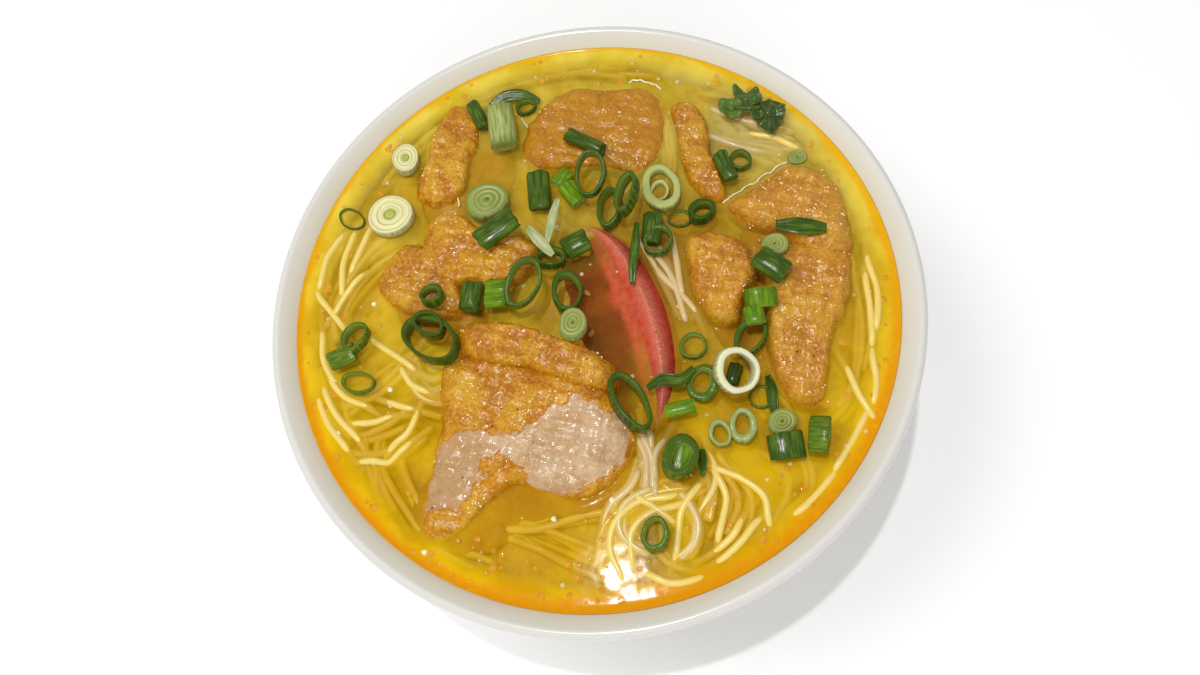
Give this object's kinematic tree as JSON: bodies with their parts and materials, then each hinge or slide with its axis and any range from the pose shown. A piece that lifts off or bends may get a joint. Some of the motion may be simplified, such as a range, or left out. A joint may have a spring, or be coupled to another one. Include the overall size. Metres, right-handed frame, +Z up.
{
  "type": "bowl of fish cake noodle soup",
  "caption": "Round white footed bowl filled with yellow broth, thin noodles, fried fish cakes, a tomato wedge, herb leaves and cut scallions.",
  "frame": {"origin": "on the surface the bowl stands on, under the middle of its foot ring", "axes": "+Z up, +Y from the middle towards the rim that is farthest away in the picture, +X to the picture's right"},
  "size_m": [0.1994, 0.1994, 0.0758],
  "materials": {
    "bowl": "gloss",
    "broth": "wet",
    "noodles": "wet",
    "fish_cake": "oily crust",
    "tomato": "wet",
    "herb": "wet",
    "scallion_dark": "wet",
    "scallion_mid": "wet",
    "scallion_bright": "wet",
    "scallion_pale": "wet",
    "scallion_white": "wet"
  },
  "bodies": {
    "root": {"bowl": "bowl", "broth": "broth", "noodles": "noodles", "fish_cake_back": "fish_cake", "fish_cake_back_strip": "fish_cake", "fish_cake_front": "fish_cake", "fish_cake_left": "fish_cake", "fish_cake_left_back": "fish_cake", "fish_cake_right": "fish_cake", "fish_cake_right_inner": "fish_cake", "tomato_wedge": "tomato", "herb_sprig": "herb", "scallion_back_block": "scallion_dark", "scallion_back_bright_pair": "scallion_bright", "scallion_back_leaf_and_ring": "scallion_dark", "scallion_back_left_tube": "scallion_dark", "scallion_back_long_tube": "scallion_dark", "scallion_back_loop": "scallion_dark", "scallion_big_pale_curl": "scallion_pale", "scallion_big_white_ring": "scallion_white", "scallion_centre_dark_ring": "scallion_dark", "scallion_centre_dark_tube": "scallion_dark", "scallion_centre_green_slice": "scallion_pale", "scallion_centre_pair": "scallion_bright", "scallion_centre_ring": "scallion_dark", "scallion_centre_small_ring": "scallion_dark", "scallion_cream_slice": "scallion_white", "scallion_front_green_ring": "scallion_mid", "scallion_front_green_stack": "scallion_mid", "scallion_front_leaf_arc": "scallion_dark", "scallion_front_long_loop": "scallion_dark", "scallion_front_pale_rings": "scallion_pale", "scallion_front_right_tube": "scallion_dark", "scallion_front_ring": "scallion_mid", "scallion_front_small_tube": "scallion_bright", "scallion_front_white_end_tube": "scallion_mid", "scallion_hanging_leaf": "scallion_dark", "scallion_left_dark_tube": "scallion_dark", "scallion_left_long_loops": "scallion_dark", "scallion_left_ring_and_leaf": "scallion_mid", "scallion_left_small_ring": "scallion_mid", "scallion_left_thin_ring": "scallion_mid", "scallion_middle_block_and_ring": "scallion_dark", "scallion_middle_left_ring": "scallion_dark", "scallion_middle_long_ring": "scallion_dark", "scallion_middle_right_ring": "scallion_dark", "scallion_middle_thin_ring": "scallion_mid", "scallion_pale_disc": "scallion_pale", "scallion_right_back_ring": "scallion_mid", "scallion_right_back_tube": "scallion_dark", "scallion_right_bright_tubes": "scallion_bright", "scallion_right_dark_block": "scallion_dark", "scallion_right_grey_leaf": "scallion_dark", "scallion_right_leaf": "scallion_dark", "scallion_right_loop": "scallion_dark", "scallion_right_pale_slice": "scallion_pale", "scallion_stalk": "scallion_pale", "scallion_tomato_block": "scallion_dark", "scallion_white_shreds": "scallion_white", "scallion_white_slice": "scallion_white"}
  },
  "joints": []
}
